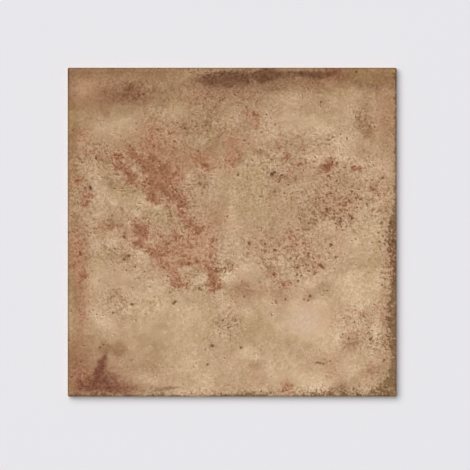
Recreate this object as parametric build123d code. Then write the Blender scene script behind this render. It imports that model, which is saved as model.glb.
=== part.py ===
"""Stone-look floor tile: one dry-pressed, fired porcelain slab, face up, in millimetres.

The origin is the middle of the bed plane, which is the plane of the rib crests on the back.
+Z points out of the wearing face. X and Y run along the sides.
"""

import os
from math import radians, tan

from build123d import *

# Outline, measured over the widest part of the sides and over the back ribs
TILE_SIDE = 333.0
TILE_THICKNESS = 9.0
PLAN_CORNER_RADIUS = 1.2

# Rim section: the upper punch shapes the cushion and the drafted wall, the die box the land below
CUSHION_WIDTH = 6.0
CUSHION_DROP = 0.4
ARRIS_RADIUS = 0.8
WALL_DRAFT_DEG = 2.5
PARTING_HEIGHT = 3.6
BACK_BEVEL = 0.7

# Keying grid on the back: shallow drafted pockets that leave flat-crested ribs between them
RIB_PITCH = 29.0
RIB_CREST_WIDTH = 3.4
POCKET_DEPTH = 0.8
POCKET_WALL_SLOPE_DEG = 40.0
POCKET_CORNER_CLIP = 2.5
BORDER_WIDTH = 7.0


def rim_section():
    """Closed outline of the whole tile cut through its middle, with both rims, on the XZ plane."""
    half_side = TILE_SIDE / 2
    arris_height = TILE_THICKNESS - CUSHION_DROP
    arris_x = half_side - (arris_height - PARTING_HEIGHT) * tan(radians(WALL_DRAFT_DEG))
    cushion_x = half_side - CUSHION_WIDTH

    with BuildSketch(Plane.XZ) as section:
        with BuildLine():
            Polyline(
                (0, 0),
                (half_side - BACK_BEVEL, 0),
                (half_side, BACK_BEVEL),
                (half_side, PARTING_HEIGHT),
                (arris_x, arris_height),
            )
            TangentArc((cushion_x, TILE_THICKNESS), (arris_x, arris_height), tangent=(1, 0))
            Line((cushion_x, TILE_THICKNESS), (0, TILE_THICKNESS))
            mirror(about=Plane.YZ)
        make_face()
        arrises = section.vertices().filter_by(lambda corner: abs(corner.Y - arris_height) < 1e-6)
        fillet(arrises, radius=ARRIS_RADIUS)
    return section.sketch


def pressed_blank():
    """The slab as the press leaves it: the rim section run both ways, so that it mitres at the
    corners as the punch does, with the four upright corners rounded in plan."""
    along_y = extrude(rim_section(), amount=TILE_SIDE / 2, both=True)
    along_x = along_y.rotate(Axis.Z, 90)
    plan = RectangleRounded(TILE_SIDE, TILE_SIDE, PLAN_CORNER_RADIUS)
    return along_y & along_x & extrude(plan, amount=TILE_THICKNESS)


def keying_pockets():
    """As many pockets each way as fit inside the border. Each is a square with clipped corners
    that narrows upwards from its mouth."""
    pockets_each_way = int((TILE_SIDE - 2 * BORDER_WIDTH) / RIB_PITCH + 1e-6)
    mouth_side = RIB_PITCH - RIB_CREST_WIDTH
    mouth = Rectangle(mouth_side, mouth_side)
    mouth = chamfer(mouth.vertices(), length=POCKET_CORNER_CLIP)
    pocket = extrude(mouth, amount=POCKET_DEPTH, taper=POCKET_WALL_SLOPE_DEG)
    return GridLocations(RIB_PITCH, RIB_PITCH, pockets_each_way, pockets_each_way) * pocket


def floor_tile():
    """The finished tile: one solid, with its keying grid pressed into the back."""
    return pressed_blank() - keying_pockets()


tile = floor_tile()
tile.label = "floor_tile"
os.makedirs("parts", exist_ok=True)
export_step(tile, "parts/floor_tile.step")
print("floor_tile", tile.bounding_box().size, "litres", round(tile.volume / 1e6, 4))
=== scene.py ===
"""Stone-look floor tile: one pressed and fired slab, printed and glazed like worn clay stone.

The slab is worked out in millimetres in the CAD frame: the origin is the middle of the bed plane,
+Z points out of the wearing face, and +Y is the top of the tile as the photograph shows it.
"""

import bpy
import numpy as np
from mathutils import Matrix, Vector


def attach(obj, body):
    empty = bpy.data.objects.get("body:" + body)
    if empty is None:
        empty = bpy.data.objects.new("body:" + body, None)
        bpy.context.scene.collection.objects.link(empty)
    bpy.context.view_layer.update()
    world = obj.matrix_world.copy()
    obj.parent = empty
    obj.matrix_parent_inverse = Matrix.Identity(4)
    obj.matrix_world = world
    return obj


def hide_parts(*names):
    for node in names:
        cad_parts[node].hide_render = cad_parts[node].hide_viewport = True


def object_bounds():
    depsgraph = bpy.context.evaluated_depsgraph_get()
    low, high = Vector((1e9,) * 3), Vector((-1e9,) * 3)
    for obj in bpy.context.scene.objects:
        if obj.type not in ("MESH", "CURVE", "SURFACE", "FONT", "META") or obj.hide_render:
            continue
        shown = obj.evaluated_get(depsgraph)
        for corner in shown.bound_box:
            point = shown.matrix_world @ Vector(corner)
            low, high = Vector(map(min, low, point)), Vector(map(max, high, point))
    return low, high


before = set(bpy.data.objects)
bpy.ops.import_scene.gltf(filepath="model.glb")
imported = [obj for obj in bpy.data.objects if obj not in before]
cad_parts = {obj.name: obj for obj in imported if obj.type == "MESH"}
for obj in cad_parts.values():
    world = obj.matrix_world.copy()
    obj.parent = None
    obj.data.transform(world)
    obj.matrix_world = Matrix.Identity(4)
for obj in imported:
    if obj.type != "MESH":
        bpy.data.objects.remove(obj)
cad_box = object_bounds()

# The slab. One porcelain blank, dry-pressed face up and fired hard. The upper punch rolls the face
# over in a soft cushion and a small arris and drafts the wall, and the die box leaves the upright
# land below it, which ends in a small bevel. Its face is a grid of lines, and its sides are rings.
MM = 0.001
HALF_SIDE = cad_box[1].x / MM
THICKNESS = cad_box[1].z / MM
CUSHION_WIDTH = 6.0
CUSHION_DROP = 0.4
ARRIS_RADIUS = 0.8
WALL_DRAFT = np.radians(2.5)
LAND_HEIGHT = 3.6
BACK_BEVEL = 0.7
CORNER_RADIUS = 1.2

# How finely the surface is cut up: lines over the flat face, over the cushion and over the arris
# each way, and rings down the drafted wall and down the land.
FLAT_LINES = 272
CUSHION_LINES = 5
ARRIS_LINES = 4
WALL_STEPS = 4
LAND_STEPS = 2


def rim_profile():
    """Distance from the middle and height of points over the rim, from the flat face outwards:
    the cushion is a circle arc tangent to the face, and the arris is a smaller arc tangent to the
    cushion and to the drafted wall, whose centre is where their two inward offsets cross."""
    flat_edge = HALF_SIDE - CUSHION_WIDTH
    corner_z = THICKNESS - CUSHION_DROP
    corner_x = HALF_SIDE - (corner_z - LAND_HEIGHT) * np.tan(WALL_DRAFT)
    run = corner_x - flat_edge
    radius = (run**2 + CUSHION_DROP**2) / (2 * CUSHION_DROP)
    centre_z = THICKNESS - radius
    lean = np.tan(WALL_DRAFT)
    offset_x = corner_x + corner_z * lean - ARRIS_RADIUS / np.cos(WALL_DRAFT) - flat_edge
    reach = radius - ARRIS_RADIUS
    arris_z = np.roots([
        1 + lean**2,
        -2 * (lean * offset_x + centre_z),
        offset_x**2 + centre_z**2 - reach**2,
    ]).real.max()
    arris_x = flat_edge + offset_x - lean * arris_z
    end_angle = np.arctan2(arris_z - centre_z, arris_x - flat_edge)
    cushion = np.linspace(np.pi / 2, end_angle, CUSHION_LINES + 1)
    arris = np.linspace(end_angle, WALL_DRAFT, ARRIS_LINES + 1)[1:]
    x = np.append(flat_edge + radius * np.cos(cushion), arris_x + ARRIS_RADIUS * np.cos(arris))
    z = np.append(centre_z + radius * np.sin(cushion), arris_z + ARRIS_RADIUS * np.sin(arris))
    return x, z


def round_corners(x, y, half):
    """Draws a square's corners in to quarter circles: within a radius of a corner the square
    (a, b) goes to the disc point (a sqrt(1 - b^2 / 2), b sqrt(1 - a^2 / 2))."""
    inner = half - CORNER_RADIUS
    a = np.clip(np.abs(x) - inner, 0, None) / CORNER_RADIUS
    b = np.clip(np.abs(y) - inner, 0, None) / CORNER_RADIUS
    round_x = np.minimum(np.abs(x), inner) + CORNER_RADIUS * a * np.sqrt(1 - b**2 / 2)
    round_y = np.minimum(np.abs(y), inner) + CORNER_RADIUS * b * np.sqrt(1 - a**2 / 2)
    return np.sign(x) * round_x, np.sign(y) * round_y


def grid_edge(count):
    """The numbers of a square grid's edge points, once round anticlockwise from the lower left. The
    grid has `count` points each way, numbered line by line."""
    last = count - 1
    step = np.arange(last)
    return np.concatenate([
        step * count, last * count + step, (last - step) * count + last, last - step,
    ])


# The face is a square grid of points, each as high as the lower of the two profiles that cross in it.
profile_x, profile_z = rim_profile()
flat_lines = np.linspace(-profile_x[0], profile_x[0], FLAT_LINES + 1)
lines = np.concatenate([-profile_x[:0:-1], flat_lines, profile_x[1:]])
line_heights = np.interp(np.abs(lines), profile_x, profile_z)
count = len(lines)
grid_x, grid_y = np.meshgrid(lines, lines, indexing="ij")
grid_z = np.minimum.outer(line_heights, line_heights)

# Its edge is carried down the wall, the land and the bevel.
loop = grid_edge(count)
wall_x = grid_x.ravel()[loop] / lines[-1]
wall_y = grid_y.ravel()[loop] / lines[-1]
wall_levels = np.linspace(profile_z[-1], LAND_HEIGHT, WALL_STEPS + 1)[1:]
wall_halves = np.linspace(profile_x[-1], HALF_SIDE, WALL_STEPS + 1)[1:]
land_levels = np.linspace(LAND_HEIGHT, BACK_BEVEL, LAND_STEPS + 1)[1:]
ring_levels = np.concatenate([wall_levels, land_levels, [0]])
ring_halves = np.concatenate([wall_halves, np.full(LAND_STEPS, HALF_SIDE), [HALF_SIDE - BACK_BEVEL]])

face_x, face_y = round_corners(grid_x, grid_y, lines[-1])
ring_points = []
for half, level in zip(ring_halves, ring_levels):
    ring_x, ring_y = round_corners(wall_x * half, wall_y * half, half)
    ring_points.append(np.stack([ring_x, ring_y, np.full(ring_x.shape, level)], 1))


# The back. The lower punch sinks a grid of shallow pockets with clipped corners, and leaves flat
# ribs of the same clay between them, which the adhesive keys into. The crests of the ribs and the
# border round them are the bed plane.
RIB_PITCH = 29.0
RIB_CREST_WIDTH = 3.4
POCKET_DEPTH = 0.8
POCKET_WALL_SLOPE = np.radians(40.0)
POCKET_CORNER_CLIP = 2.5
BORDER_WIDTH = 7.0


def pocket_outline(reach, clip):
    """The eight corners of a square of half side `reach` with its corners clipped by `clip`,
    anticlockwise from the lower right."""
    near = reach - clip
    return np.array([
        (reach, -near), (reach, near), (near, reach), (-near, reach),
        (-reach, near), (-reach, -near), (-near, -reach), (near, -reach),
    ])


pockets = int((2 * HALF_SIDE - 2 * BORDER_WIDTH) / RIB_PITCH + 1e-6)
knots = (np.arange(pockets + 1) - pockets / 2) * RIB_PITCH
knot_x, knot_y = np.meshgrid(knots, knots, indexing="ij")
middle_x, middle_y = np.meshgrid(knots[:-1] + RIB_PITCH / 2, knots[:-1] + RIB_PITCH / 2, indexing="ij")
draw_in = POCKET_DEPTH * np.tan(POCKET_WALL_SLOPE)
mouth = pocket_outline((RIB_PITCH - RIB_CREST_WIDTH) / 2, POCKET_CORNER_CLIP)
roof = pocket_outline(
    (RIB_PITCH - RIB_CREST_WIDTH) / 2 - draw_in,
    POCKET_CORNER_CLIP - (2 - np.sqrt(2)) * draw_in,
)
middles = np.stack([middle_x.ravel(), middle_y.ravel()], 1)
mouths = (middles[:, None, :] + mouth).reshape(-1, 2)
roofs = (middles[:, None, :] + roof).reshape(-1, 2)

face_points = np.stack([face_x.ravel(), face_y.ravel(), grid_z.ravel()], 1)
knot_points = np.stack([knot_x.ravel(), knot_y.ravel(), np.zeros(knot_x.size)], 1)
mouth_points = np.column_stack([mouths, np.zeros(len(mouths))])
roof_points = np.column_stack([roofs, np.full(len(roofs), POCKET_DEPTH)])
points = np.concatenate([face_points, *ring_points, knot_points, mouth_points, roof_points])

# Each ring is numbered after the one above it, and the face's own edge is the first.
around = len(loop)
rings = np.vstack([loop, count * count + np.arange(len(ring_levels) * around).reshape(-1, around)])
first_knot = count * count + len(ring_levels) * around
first_mouth = first_knot + knot_x.size

last = count - 1
corner = (np.arange(last)[:, None] * count + np.arange(last)).ravel()
face_quads = np.stack([corner, corner + count, corner + count + 1, corner + 1], 1)
onward = np.roll(rings, -1, axis=1)
wall_quads = np.stack([rings[:-1], rings[1:], onward[1:], onward[:-1]], 2).reshape(-1, 4)

cell = np.arange(pockets**2)
knot_row = pockets + 1
lower_left = first_knot + cell // pockets * knot_row + cell % pockets
cell_knots = np.stack([
    lower_left + knot_row, lower_left + knot_row + 1, lower_left + 1, lower_left,
], 1)
cell_mouth = first_mouth + cell[:, None] * 8 + np.arange(8)
cell_roof = cell_mouth + len(mouths)
turn = np.arange(4)
rib_quads = np.stack([
    cell_mouth[:, 2 * turn + 1], cell_knots[:, (turn + 1) % 4],
    cell_knots[:, turn], cell_mouth[:, 2 * turn],
], 2).reshape(-1, 4)
rib_corners = np.stack([
    cell_mouth[:, (2 * turn + 2) % 8], cell_knots[:, (turn + 1) % 4], cell_mouth[:, 2 * turn + 1],
], 2).reshape(-1, 3)
pocket_walls = np.stack([
    cell_roof, np.roll(cell_roof, -1, 1), np.roll(cell_mouth, -1, 1), cell_mouth,
], 2).reshape(-1, 4)
pocket_roofs = cell_roof[:, ::-1]


def stitch(outer, inner, outer_place, inner_place):
    """Triangles between two rings of different counts: both rings' points are taken in order
    round the tile, and each new point closes a triangle with the last point of either ring."""
    place = np.concatenate([outer_place, inner_place])
    order = np.argsort(place, kind="stable")
    from_outer = order < len(outer)
    outer_at = np.cumsum(from_outer) - 1
    inner_at = np.cumsum(~from_outer) - 1
    before_outer, before_inner = np.roll(outer_at, 1), np.roll(inner_at, 1)
    new = np.where(from_outer, outer[outer_at % len(outer)], inner[inner_at % len(inner)])
    return np.stack([outer[before_outer % len(outer)], inner[before_inner % len(inner)], new], 1)


knot_loop = first_knot + grid_edge(knot_row)
ring_place = np.concatenate([side + (lines[:-1] / lines[-1] + 1) / 2 for side in range(4)])
knot_place = np.concatenate([side + (knots[:-1] / knots[-1] + 1) / 2 for side in range(4)])
border = stitch(rings[-1], knot_loop, ring_place, knot_place)

faces = [
    *face_quads.tolist(), *wall_quads.tolist(), *border.tolist(), *rib_quads.tolist(),
    *rib_corners.tolist(), *pocket_walls.tolist(), *pocket_roofs.tolist(),
]

# The print. Ceramic inks are jetted on the pressed blank and fired under a matt glaze, to look like
# worn clay stone. Its marks are laid out from the photograph, in millimetres, and noise breaks up
# their outlines. The ink is kept as shares from 0 to 1 on the points of the slab.
WANDER, WANDER_SIZE = 5.0, 16.0
FRAY, FRAY_SIZE = 2.5, 5.0


def cloud(x, y, size, seed, octaves=4):
    """Value noise from 0 to 1: seeded random heights on a square lattice `size` mm apart, joined
    by smooth steps; each further octave is half as wide and half as strong."""
    total = np.zeros(x.shape)
    for octave in range(octaves):
        cell = size / 2**octave
        reach = int(HALF_SIDE / cell) + 3
        heights = np.random.default_rng([seed, octave]).random((2 * reach + 1, 2 * reach + 1))
        column, row = x / cell + reach, y / cell + reach
        left, low = np.floor(column).astype(int), np.floor(row).astype(int)
        u, v = column - left, row - low
        u, v = u * u * (3 - 2 * u), v * v * (3 - 2 * v)
        below = heights[left, low] * (1 - u) + heights[left + 1, low] * u
        above = heights[left, low + 1] * (1 - u) + heights[left + 1, low + 1] * u
        total += (below * (1 - v) + above * v) / 2**octave
    return total / (2 - 2 ** (1 - octaves))


plan_x, plan_y = points[:, :2].T
edge_distance = HALF_SIDE - np.maximum(np.abs(plan_x), np.abs(plan_y))


def stray(seed):
    """How far an outline strays, in millimetres: a broad wander plus a finer fray, both clouds."""
    broadly = WANDER * (cloud(plan_x, plan_y, WANDER_SIZE, seed) - 0.5)
    return broadly + FRAY * (cloud(plan_x, plan_y, FRAY_SIZE, seed + 1) - 0.5)


bend_x = plan_x + stray(11)
bend_y = plan_y + stray(13)


def spots(marks):
    """Coverage of soft elliptical marks, 0 to 1: a mark covers its strength times exp(-0.7 r^3),
    where r is the elliptic radius, and together they cover 1 minus the product of what each
    leaves bare. A mark with five numbers isn't turned."""
    bare = np.ones(bend_x.shape)
    for centre_x, centre_y, length, width, *turn, strength in marks:
        c, s = np.cos(np.radians(sum(turn))), np.sin(np.radians(sum(turn)))
        along = (c * (bend_x - centre_x) + s * (bend_y - centre_y)) / length
        across = (c * (bend_y - centre_y) - s * (bend_x - centre_x)) / width
        bare *= 1 - strength * np.exp(-0.7 * (along**2 + across**2) ** 1.5)
    return 1 - bare


# A soft mark is its centre x and y, half length, half width, the turn of its length in degrees if it
# has one, and its strength. First come the rust-red patches, in two ragged arms down the left half.
RUST = [
    (-150, 97, 9, 6, -30, 0.3), (-142, 83, 10, 5, 10, 0.35), (-134, 76, 6, 4, 0.6),
    (-118, 77, 5.5, 3.5, 10, 0.95), (-110, 79, 4, 3, 0.5), (-114, 66, 7, 4.5, -20, 1),
    (-107, 61, 4.5, 3, -30, 0.9), (-101, 55, 6.5, 5, -10, 1), (-93, 49, 8, 3, 0.6),
    (-103, 83, 5, 3.5, -30, 0.8), (-97, 78, 6, 4, -40, 0.85), (-90, 71, 8, 4.5, -38, 0.85),
    (-79, 75, 5, 5, 0.8), (-82, 63, 7, 5.5, -30, 0.85), (-79, 55, 5, 6, 0.75), (-75, 47, 12, 7.5, -10, 1),
    (-67, 41, 6, 3.5, -40, 0.9), (-81, 37, 6, 6, -20, 0.95), (-76, 31, 5, 3, 0.7),
    (-62, 56, 9, 7, 10, 0.7), (-66, 66, 5, 4, 0.65), (-72, 66, 22, 14, -20, 0.38),
    (-56, 34, 8, 7, -20, 0.95), (-50, 27, 6, 5, -40, 0.75), (-64, 27, 6, 3, 0.5),
    (-53, 18, 8, 4, -40, 0.75), (-46, 11, 7, 4.5, -45, 0.85), (-37, 4, 7, 4.5, -35, 0.95),
    (-80, 104, 7, 8, 10, 0.42), (-83, 93, 8, 6, 0.5), (-76, 88, 7, 5, 0.32), (-62, 103, 7, 8, 0.27),
    (-64, 86, 9, 5, 0.24), (-33, 73, 8, 6, 0.6), (-26, 64, 7, 4, 0.6), (-15, 70, 6, 4, 0.2),
    (-2, 70, 7, 9, 0.27), (-93, 4, 9, 6, 1), (-98, 12, 4, 2.5, 50, 0.5), (-90, 16, 4, 2, -60, 0.4),
    (-130, 3, 9, 3, 10, 0.35), (-118, 6, 6, 3, 0.35), (-147, 34, 5, 6, 0.6), (-148, 28, 4, 2.5, 0.7),
    (-155, 50, 5, 6, -30, 0.6), (-143, 39, 3, 3, 0.4), (-163, 60, 3, 12, 0.3), (-91, -3, 7, 6, 0.9),
    (-95, -13, 6, 4, 10, 0.9), (-87, -19, 4, 3, 0.5), (-81, -22, 5, 4, 0.7), (-76, -25, 5, 6, 20, 0.75),
    (-74, -16, 6, 4, 0.35), (-62, -14, 8, 5, 0.35), (-58, -3, 5, 5, 0.8), (-48, -5, 6, 6, 0.2),
    (-60, -22, 20, 14, -20, 0.36), (-66, -36, 6, 3, -30, 0.6), (-55, -30, 8, 5, 0.3),
    (-43, -31, 8, 3.5, 0.5), (-31, -30, 5, 4, 0.7), (-20, -8, 6, 4, 0.65), (-20, -19, 5, 5, 0.6),
    (-19, -30, 5, 5, 0.5), (-24, -38, 5, 4, 0.8), (-18, -42, 6, 5, 0.8), (-20, -52, 6, 8, 0.85),
    (-13, -52, 4, 5, 0.55), (-58, -45, 5, 7, 0.65), (-54, -53, 9, 4, -10, 0.75), (-38, -5, 7, 5, 0.4),
    (-158, -10, 6, 15, 0.34), (-151, -44, 5, 7, 0.7), (-150, -20, 5, 10, 0.3), (-153, -62, 4, 14, 0.42),
    (-150, -84, 5, 5, 0.35), (-157, -33, 5, 10, 0.35), (97, 67, 7, 4.5, 20, 1), (99.5, 72, 2, 2.5, 0.9),
    (90, 67, 4.5, 1.8, 10, 0.8), (95, 63, 2.2, 2.8, 0.8), (103.5, 66, 3, 2, -30, 0.8),
    (108, 69, 2.4, 1.8, 30, 0.65), (126, 65, 6, 3.5, 0.65), (56, 77, 3, 3.5, 0.9), (67, 69, 4, 2, 0.6),
    (72, 70, 5, 2, 20, 0.4), (23, 118, 5, 5, 0.6), (26, 109, 4, 3, 0.55), (14, 121, 7, 2, -50, 0.5),
    (70, 86, 4, 6, 0.3), (48, 87, 4, 4, 0.4), (105, 27, 13, 5, 0.2), (94, 27, 4, 3, 0.3),
    (120, 24, 7, 3, 0.25), (100, 163, 10, 4, 0.78), (97, 155, 12, 5, 0.35), (142, 44, 5, 2, -45, 0.4),
    (5, 77, 6, 12, 0.22), (42, -43, 8, 4, 0.5), (53, -53, 8, 4, 0.45), (15, -56, 7, 3, -40, 0.25),
    (56, -4, 6, 6, 0.35), (88, -34, 5, 4, 0.4), (66, -12, 9, 8, 0.25), (57, -158, 5, 5, 0.5),
    (122, -107, 12, 8, 0.18), (156, -84, 8, 9, 0.28), (142, -138, 8, 5, 0.3), (133, -83, 6, 4, 0.3),
    (162, -30, 4, 20, 0.4), (160, -110, 5, 10, 0.27), (-150, -148, 9, 7, 0.5), (-156, -138, 6, 10, 0.35),
]

# Dark brown bars along the top edge, thin cracks and curled smears. The narrow mark at the top of
# the left edge is partly painted shade, which deepens the dark arris line there.
UMBER = [
    (-106, 146, 7, 5, 0.3), (-109, 142, 21, 11, -8, 0.4), (-117, 138, 14, 6, 0.2),
    (-106, 141, 36, 15, 0.28), (-80, 140, 22, 12, 0.2), (-116, 134, 34, 5, -2, 0.2),
    (-31, 155, 10, 4.5, 0.6), (-13, 156, 16, 7, 0.85), (8, 157.5, 15, 6.5, 0.9), (34, 160, 17, 6.5, 0.97),
    (44, 159, 10, 5, 0.5), (66, 160, 18, 3.4, 0.75), (86, 159.5, 14, 4.2, 0.9), (70, 156, 34, 5, 0.35),
    (8, 151, 44, 7, 0.5), (8, 145, 52, 10, 0.3), (-12, 142, 8, 9, 0.15), (135, 148, 12, 4, -5, 0.35),
    (142, 154, 26, 8, 0.3), (-66, 66, 4, 3, 0.35), (-67, 40, 5, 2.5, -40, 0.4),
    (-143.5, 44.5, 1.7, 3.4, 20, 0.9), (83, 56, 3, 3, 0.35), (-166, 157, 2.6, 12, 0.95),
    (146, 141, 1.5, 9, 4, 0.4), (41, 59.5, 3.4, 1.5, 40, 0.9), (45, 56, 2.6, 1.2, -30, 0.6),
    (50, 54, 3, 1.3, 30, 0.7), (56, 56, 2.4, 1.2, -40, 0.6), (29, 81.5, 3, 1.2, 20, 0.6),
    (36, 77, 2.6, 1.2, -40, 0.5), (-114, -67, 10, 1.4, -49, 0.62), (-115, -79, 8.5, 1.4, 33, 0.48),
    (-3, -30.5, 5.5, 1.5, -30, 0.4), (-4, -37, 4, 1.5, 10, 0.35), (34, -32, 7, 1.5, -54, 0.5),
    (89, -132, 5, 1.5, 0.5), (142.5, 44, 3.8, 1.6, -45, 0.75), (151.5, 55, 4, 1.4, 42, 0.75),
    (-32, 52, 1.6, 5, 20, 0.5), (-27, 47, 1.6, 4, -20, 0.5), (109, 9, 1.8, 5, 0.5),
    (120, 16, 3.5, 1.5, 40, 0.5), (139, 103, 1.5, 6, 10, 0.3), (136, 96, 5, 1.5, 20, 0.3),
    (42, 145, 4.5, 1.3, 0.4), (-56, -70, 4, 1.5, -20, 0.5), (141, -107, 4, 1.5, -40, 0.6),
    (-98, 8, 1.5, 5, 40, 0.3), (-100, 163, 70, 3, 0.3), (100, 163, 12, 4, 0.7), (110, 157, 9, 5, 0.3),
    (-162, 150, 8, 14, 0.2), (-160, -140, 10, 28, 0.2), (-68, -159.5, 14, 2, 8, 0.6),
    (110, -158, 9, 5, 0.35), (-10, -164.5, 14, 1.5, 0.35), (24, -164, 24, 2, 0.15),
]

# The deepest reds: the wedge at the lower left and the hearts of a few patches.
MAROON = [
    (-128.5, -126, 2, 5, -15, 0.7), (-131, -133, 4.5, 7, -20, 0.85), (-136, -144, 6.5, 12, -15, 0.9),
    (-126, -146, 12, 10, -35, 0.55), (-132, -153, 16, 8, 0.55), (-148, -154, 9, 7, 15, 0.55),
    (-113, -154, 19, 8, -18, 0.43), (-103, -158, 16, 6, 0.36), (-156, -158, 12, 7, 0.25),
    (-128, -160, 34, 6, 0.45), (-140, -146, 36, 22, 0.35), (-158, -135, 10, 18, 0.25),
    (96, 66.5, 5, 3.6, 25, 0.82), (101, 69, 3, 2, 40, 0.6), (56, 77, 3, 3, 0.5), (103, 163, 7, 3, 0.4),
    (-102, 56, 6, 4, -10, 0.2), (-114, 66, 6, 4, -20, 0.15), (-110, 138, 22, 8, -4, 0.35),
    (-35, 156, 8, 4, 0.4),
]

# Bleached stretches of the clay, and shaded ones.
PALE = [
    (40, -60, 90, 22, 0.12), (-30, 14, 14, 32, 0.15), (70, -30, 34, 13, 0.2), (-60, -36, 14, 10, 0.2),
    (0, -30, 12, 10, 0.15), (-60, -148, 26, 8, 0.15), (140, -62, 24, 18, 0.2), (92, -122, 14, 12, 0.2),
    (120, 34, 40, 18, 0.12), (60, -150, 90, 22, 0.12), (78, -88, 20, 21, 0.85),
    (100, -108, 13, 10, -20, 0.6), (84, -151, 16, 9, 0.7), (124, -53, 19, 14, 0.7),
    (131, -70, 8, 10, 0.4), (123, -22, 26, 10, 0.2), (122, -134, 14, 11, 0.3), (146, -100, 5, 14, 0.4),
    (120, -92, 18, 10, 0.3), (122, -70, 12, 8, 0.3), (50, -136, 18, 12, 0.3), (18, -122, 9, 6, 0.5),
    (44, -96, 12, 13, 0.3), (15, -83, 10, 5, -20, 0.35), (0, -128, 80, 24, 0.14),
    (-27, -150, 9, 13, 0.35), (-47, -118, 16, 26, 0.3), (-85, -149, 14, 7, 0.3), (-56, -84, 36, 20, 0.3),
    (-80, -66, 16, 16, 0.4), (-132, -90, 13, 7, -35, 0.6), (-140, -62, 12, 20, 0.3),
    (-108, -46, 30, 12, 0.2), (-94, -24, 9, 6, -35, 0.45), (-121, -8, 8.5, 7, 0.42),
    (-84, -13, 5, 4, 0.6), (-51, -2, 5, 5, 0.5), (-30, -18, 8, 5, 0.3), (-90, 31, 9, 7, -30, 0.48),
    (-118, 32, 9, 8, 0.4), (-99, 24, 9, 6, 0.22), (-74, 17, 9, 5, 0.2), (-134, 36, 9, 18, 15, 0.25),
    (-140, 62, 12, 10, 0.25), (-88, 55, 5, 4, 0.7), (-107, 113, 9, 2.5, 10, 0.35),
    (-114, 103, 22, 11, 0.25), (-150, 145, 12, 9, 0.25), (-35, 88, 8, 7, 0.25), (0, 115, 10, 9, 0.3),
    (-18, 50, 22, 18, 0.2), (0, 5, 8, 26, 0.35), (16, -37, 17, 9, 0.42), (-1, -47, 11, 6, 0.45),
    (-8, -66, 14, 9, 0.3), (34, -72, 12, 7, 0.2), (-30, -46, 5, 8, 0.2), (34, 98, 12, 6, 0.2),
    (46, 113, 20, 13, 0.3), (76, 112, 18, 10, 0.34), (92, 104, 11, 5, 0.4), (116, 92, 14, 10, 0.45),
    (62, 135, 26, 8, 0.3), (112, 132, 16, 10, 0.25), (88, 75, 14, 5, 0.35), (113, 76, 14, 7, 0.4),
    (148, 64, 14, 13, 0.28), (98, 2, 12, 7, 0.35), (126, -6, 16, 20, 0.3), (75, -52, 16, 5, 20, 0.25),
    (150, 36, 8, 6, 0.3), (-150, -150, 3, 2.5, 0.7), (-103, 9, 3, 2, 0.6), (128, 70, 5, 2, 0.4),
    (-8, 72, 4, 6, 0.3), (-101, 63, 2, 2.5, 0.7), (-94, 82, 2, 2.5, 0.7), (-86, 78, 5, 3, 0.5),
    (-111, 78, 2, 4, 0.5), (-97, -4, 3, 2.5, 0.6), (-45, 55, 4, 8, 0.4), (-97, 17, 3, 5, -20, 0.5),
    (-30, 61, 5, 3, 0.4), (-76, 25, 5, 3, 0.6), (-57, 27, 3, 2, 0.4), (-64, 97, 7, 5, 0.3),
    (-50, -33, 6, 6, 0.25), (146, 8, 9, 12, 0.35), (147, -40, 7, 10, 0.3), (-94, -94, 12, 9, 0.2),
    (14, 146, 12, 6, 0.2), (-146, 14, 8, 8, 0.25), (-60, 121, 13, 9, 0.25), (-150, 90, 9, 8, 0.22),
    (122, 121, 8, 8, 0.15), (-109, -73, 10, 11, 0.34), (-155, 75, 6, 9, 0.28), (-156, 38, 5, 8, 0.22),
    (-133, 15, 7, 8, 0.28), (-50, -160, 24, 6, 0.3), (110, 112, 9, 7, 0.3), (28, 88, 9, 6, 0.26),
    (136, -120, 18, 6, -63, 0.28), (-75, -105, 12, 6, 0.22), (-48, -53, 6, 5, 0.2),
    (-130, -20, 16, 4, 0.15), (85, -132, 6, 6, 0.22),
]
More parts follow.
